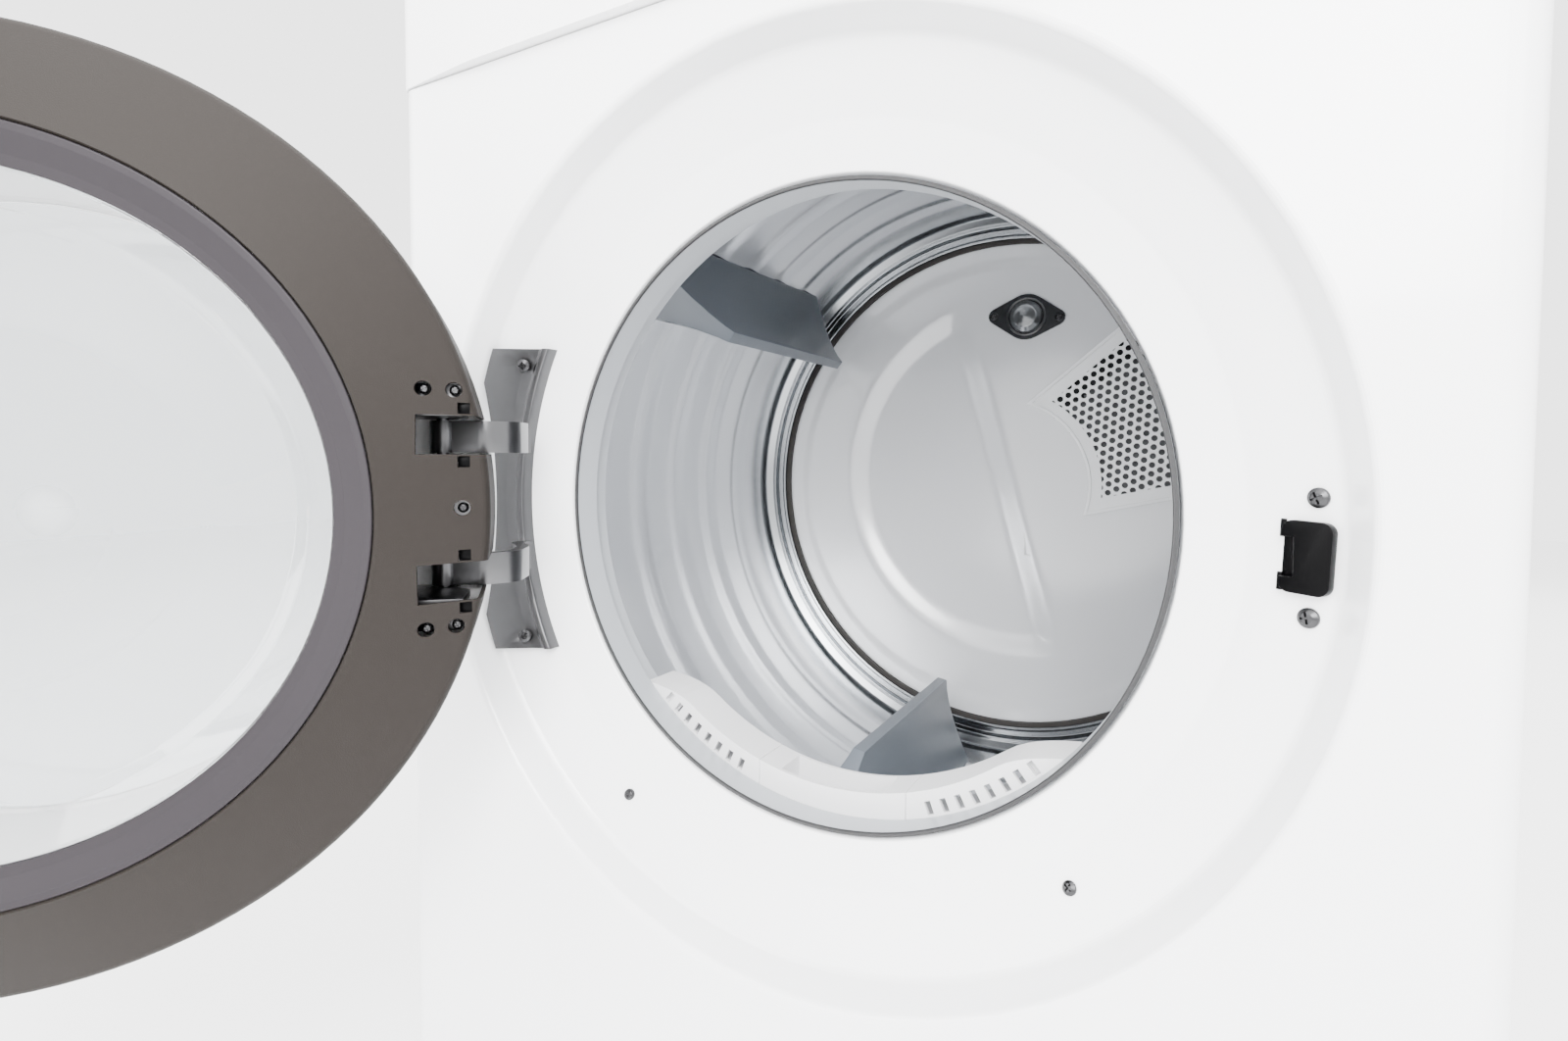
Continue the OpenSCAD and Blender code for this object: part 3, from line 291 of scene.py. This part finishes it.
def softened(node, body, width, segments=3, sharp_above=30):
    """A copy of a machine part with its sharp edges rounded."""
    mesh = bmesh.new()
    mesh.from_mesh(nodes[node].data)
    bmesh.ops.remove_doubles(mesh, verts=mesh.verts, dist=1e-5)
    bmesh.ops.dissolve_limit(mesh, angle_limit=math.radians(1), verts=mesh.verts, edges=mesh.edges)
    sharp = [e for e in mesh.edges
             if len(e.link_faces) == 2 and e.calc_face_angle() > math.radians(sharp_above)]
    bmesh.ops.bevel(mesh, geom=sharp, offset=width, offset_type="OFFSET", segments=segments,
                    profile=0.5, affect="EDGES", material=-1, clamp_overlap=True)
    piece = placed(node + "_soft", mesh, body, SLOT_FINISH[slot_of[node]])
    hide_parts(node)
    print(piece.name, "faces:", len(piece.data.polygons))
    return piece

def ease(t):
    """A soft step from 0 to 1."""
    t = min(1.0, max(0.0, t))
    return t * t * (3 - 2 * t)

# %% [markdown]
# ## The drum's wall
# The sheet is rolled with five low rings. Seen from inside they are soft waves that catch the light
# as pale bands, so the wall is turned from a gently waving line.

# %% Drum wall
SWAGES = (0.067, 0.157, 0.222, 0.287, 0.352)
SWAGE_HALF, SWAGE_RISE = 0.019, 0.0019
WALL_LEN, WALL_STEPS = 0.416, 104
WALL_R, WALL_THICK = 0.3221, 0.0009
inner = []
for i in range(WALL_STEPS + 1):
    along = WALL_LEN * i / WALL_STEPS
    wave = sum(ease(1 - abs(along - at) / SWAGE_HALF) for at in SWAGES)
    inner.append((WALL_R + SWAGE_RISE * wave, DRUM_FRONT_Y + along))
outer = [(r + WALL_THICK, y) for r, y in reversed(inner)]
drum_wall = placed("drum_wall", lathe(inner + outer), "drum", drum_steel, 60)
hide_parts("drum_shell")
print("drum wall faces:", len(drum_wall.data.polygons))

# %% [markdown]
# ## The fixed back wall
# Behind the drum stands one sheet. A press has sunk a shallow D into it, round on the left and
# straight on the right, and a deeper pocket behind the air inlet. The sheet is a fine grid
# whose points are moved back. Inside the inlet's outline it carries painted shade: black on the
# open strip along its upper edge, dark grey on the pocket floor seen through the grille.

# %% Back wall
ridge_dir = Vector((0.272, -0.962))
inlet_turn = Matrix.Rotation(math.radians(-26.5), 2)
INLET_NEAR, INLET_FAR = 0.107, 0.252
FLARE_FROM, FLARE = 0.073, 0.24
D_DEPTH, RIM_RISE, POCKET_DEPTH = 0.0095, 0.0016, 0.011
DISC_R, GRID_HALF = 0.294, 0.296

def in_inlet(p):
    """How far a point lies inside the air inlet's outline."""
    u, v = inlet_turn @ p
    half = 0.068 + (u - FLARE_FROM) * FLARE
    return min(half - abs(v), p.length - INLET_NEAR, INLET_FAR - p.length, u)

def pressed(p):
    round_side = 0.224 - (p - Vector((0.020, 0.012))).length
    off_ridge = p - Vector((0.0205, 0.013))
    straight_side = -(off_ridge.x * -ridge_dir.y + off_ridge.y * ridge_dir.x)
    dish = D_DEPTH * ease(round_side / 0.030) * ease(straight_side / 0.036)
    rim = -RIM_RISE * ease((p.length - 0.262) / 0.012)
    return dish + rim + POCKET_DEPTH * ease(in_inlet(p) / 0.005)

sheet = bmesh.new()
bmesh.ops.create_grid(sheet, x_segments=170, y_segments=170, size=GRID_HALF)
bmesh.ops.rotate(sheet, verts=sheet.verts, matrix=Matrix.Rotation(math.radians(90), 3, "X"))
for v in sheet.verts:
    v.co.y = DISC_Y + 0.0002 + pressed(Vector((v.co.x, v.co.z)))
    v.co.z += AXIS_Z
past_edge = []
for f in sheet.faces:
    middle = f.calc_center_median()
    if math.hypot(middle.x, middle.z - AXIS_Z) > DISC_R:
        past_edge.append(f)
bmesh.ops.delete(sheet, geom=past_edge, context="FACES")
back_wall = placed("back_wall", sheet, "cabinet", disc_enamel, 70)
# painted shade inside the inlet: the gasket's black finish on the open strip, dark grey on the
# pocket floor
back_wall.data.materials.append(gasket_rubber)
back_wall.data.materials.append(inlet_painted_shade)
for face in back_wall.data.polygons:
    at = Vector((face.center.x, face.center.z - AXIS_Z))
    u, v = inlet_turn @ at
    # faces inside the inlet get painted shade: black on the open strip, dark grey behind the grille
    if in_inlet(at) > -0.003:
        face.material_index = 1 if v > 0.040 + (u - FLARE_FROM) * FLARE else 2
thick = back_wall.modifiers.new("sheet", "SOLIDIFY")
thick.thickness = 0.001
thick.offset = 1 if back_wall.data.polygons[0].normal.y > 0 else -1
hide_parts("rear_bulkhead")
print("back wall faces:", len(back_wall.data.polygons))

# %% [markdown]
# ## Rounded edges
# Castings and mouldings have no knife edges. The hinge, the latch's cover and the baffles get
# rounded ones.

# %% Rounded edges
softened("hinge_bracket", "cabinet", 0.0009)
softened("hinge_blocks", "door", 0.0008)
softened("latch_cover", "cabinet", 0.0008)
for number in (1, 2, 3):
    softened(f"baffle_{number}", "drum", 0.0016)

# %% [markdown]
# ## Small details
# The lamp's flange gets a raised bead round its lens and a finer one inside it.

# %% Small details
low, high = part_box("lamp_flange")
lamp_at = Vector(((low[0] + high[0]) / 2, low[1], (low[2] + high[2]) / 2))

def ring(name, centre, radius, wire, body, finish_used, around=48, across=10):
    """A plain ring facing the front."""
    mesh = bmesh.new()
    made = bmesh.ops.create_circle(mesh, segments=across, radius=wire,
                                   matrix=Matrix.Translation(centre + Vector((radius, 0, 0))))
    bmesh.ops.spin(mesh, geom=made["verts"] + mesh.edges[:], cent=centre, axis=(0, 1, 0),
                   angle=math.tau, steps=around, use_merge=True)
    return placed(name, mesh, body, finish_used, 80)

lamp_bead = ring("lamp_bead", lamp_at + Vector((0, 0.0004, 0)), 0.0215, 0.0016, "cabinet",
                 hinge_chrome)
lamp_bead_inner = ring("lamp_bead_inner", lamp_at + Vector((0, 0.0002, 0)), 0.0172, 0.0010,
                       "cabinet",
                       bright_steel)

# %% [markdown]
# Behind the four square catches near the hinge sit black boxes that paint the shade inside the
# holes, and the latch's mouth gets a thin black lining.

# %% Painted shade in the catches, and the latch strip
PIVOT = Vector((-0.2376, -0.3939, 0))
SWING = Matrix.Translation(PIVOT) @ Matrix.Rotation(math.radians(-135.7), 4,
                                                    "Z") @ Matrix.Translation(-PIVOT)

def block(size, place, mesh):
    """A plain box added to a mesh."""
    bmesh.ops.create_cube(mesh, size=1.0, matrix=place @ Matrix.Diagonal((*size, 1)))

CATCH_X, CATCH_UPS = -0.259, (-0.0627, -0.0293, 0.0293, 0.0627)
DOOR_R, DOOR_EDGE_Y, CONE_SLOPE = 0.274, -0.336, 0.4590
# painted shade: black boxes set just behind the catches' square holes
shade_boxes = bmesh.new()
for up in CATCH_UPS:
    x, z = CATCH_X, up + 0.0015
    cone = DOOR_EDGE_Y + (DOOR_R - math.hypot(x, z)) * CONE_SLOPE
    block((0.0074, 0.0008, 0.0074), SWING @ Matrix.Translation((x, cone - 0.0036, AXIS_Z + z)),
          shade_boxes)
bmesh.ops.bevel(shade_boxes, geom=shade_boxes.edges[:], offset=0.0002, offset_type="OFFSET", segments=2,
                profile=0.5, affect="EDGES", material=-1)
placed("catch_shade_boxes", shade_boxes, "door", black_gloss)

LATCH_X, LATCH_DROP = 0.272, 0.0105
DISH_RISE, DISH_RUN, DISH_INNER_R = 23, 38, 0.247
PANEL_Y, DISH_DEPTH = -0.350, 0.048
strip = bmesh.new()
reach = math.hypot(LATCH_X, LATCH_DROP)
slope = math.atan2(DISH_RISE, DISH_RUN)
dish_y = PANEL_Y + DISH_DEPTH - (reach - DISH_INNER_R) * DISH_RISE / DISH_RUN
on_dish = (Matrix.Translation((0, 0, AXIS_Z))
           @ Matrix.Rotation(math.atan2(LATCH_DROP, LATCH_X), 4, "Y")
           @ Matrix.Translation((reach, dish_y, 0))
           @ Matrix.Rotation(-slope, 4, "Z") @ Matrix.Rotation(math.radians(90), 4, "X"))
for end in (-1, 1):
    block((0.0022, 0.0085, 0.0015), on_dish @ Matrix.Translation((-0.0123, end * 0.01275, 0.0012)),
          strip)
block((0.0105, 0.021, 0.0003), on_dish @ Matrix.Translation((-0.0068, 0, 0.0003)), strip)
bmesh.ops.bevel(strip, geom=strip.edges[:], offset=0.0001, offset_type="OFFSET", segments=3,
                profile=0.5, affect="EDGES", material=-1)
placed("latch_strip", strip, "cabinet", black_gloss)
print("lamp at", [round(v, 3) for v in lamp_at])

# %% [markdown]
# ## Studio
# A white floor and a soft white room. Big area lamps stand in front and above, and a smaller one
# near the camera looks into the drum so that its back wall is bright.

# %% Floor
floor_mesh = bmesh.new()
bmesh.ops.create_grid(floor_mesh, x_segments=8, y_segments=8, size=6)
bmesh.ops.translate(floor_mesh, verts=floor_mesh.verts, vec=(0, 0, cad_box[0][2]))
floor_data = bpy.data.meshes.new("floor")
floor_mesh.to_mesh(floor_data)
floor_mesh.free()
floor = bpy.data.objects.new("floor", floor_data)
bpy.context.scene.collection.objects.link(floor)
floor_data.materials.append(finish("floor_paint", (0.9, 0.9, 0.9), 0.6, grain=200, bump=0.01,
                                   colour_play=0.005))

# %% Lights
def soft_light(name, at, look_at, size, power, colour=(1, 1, 1)):
    lamp = bpy.data.lights.new(name, "AREA")
    lamp.energy = power
    lamp.size = size
    lamp.color = colour
    stand = bpy.data.objects.new(name, lamp)
    bpy.context.scene.collection.objects.link(stand)
    aim = (Vector(look_at) - Vector(at)).to_track_quat("-Z", "Y")
    stand.matrix_world = Matrix.Translation(at) @ aim.to_matrix().to_4x4()
    return stand

soft_light("key", (1.6, -2.6, 2.4), (0, 0, 0.5), 2.4, 210)
soft_light("fill", (-2.4, -2.4, 1.4), (0, -0.3, 0.5), 2.4, 120)
soft_light("top", (0, -0.6, 3.2), (0, 0, 0.5), 2.8, 150)
soft_light("back", (0.5, 3.0, 2.2), (0, 0, 0.5), 2.4, 80)
soft_light("drum_light", (0.25, -1.15, 0.95), (0, 0.1, 0.42), 0.5, 20)

world = bpy.data.worlds.new("studio")
bpy.context.scene.world = world
world.use_nodes = True
world.node_tree.nodes["Background"].inputs["Color"].default_value = (1, 1, 1, 1)
world.node_tree.nodes["Background"].inputs["Strength"].default_value = 3.3
print("studio ready")
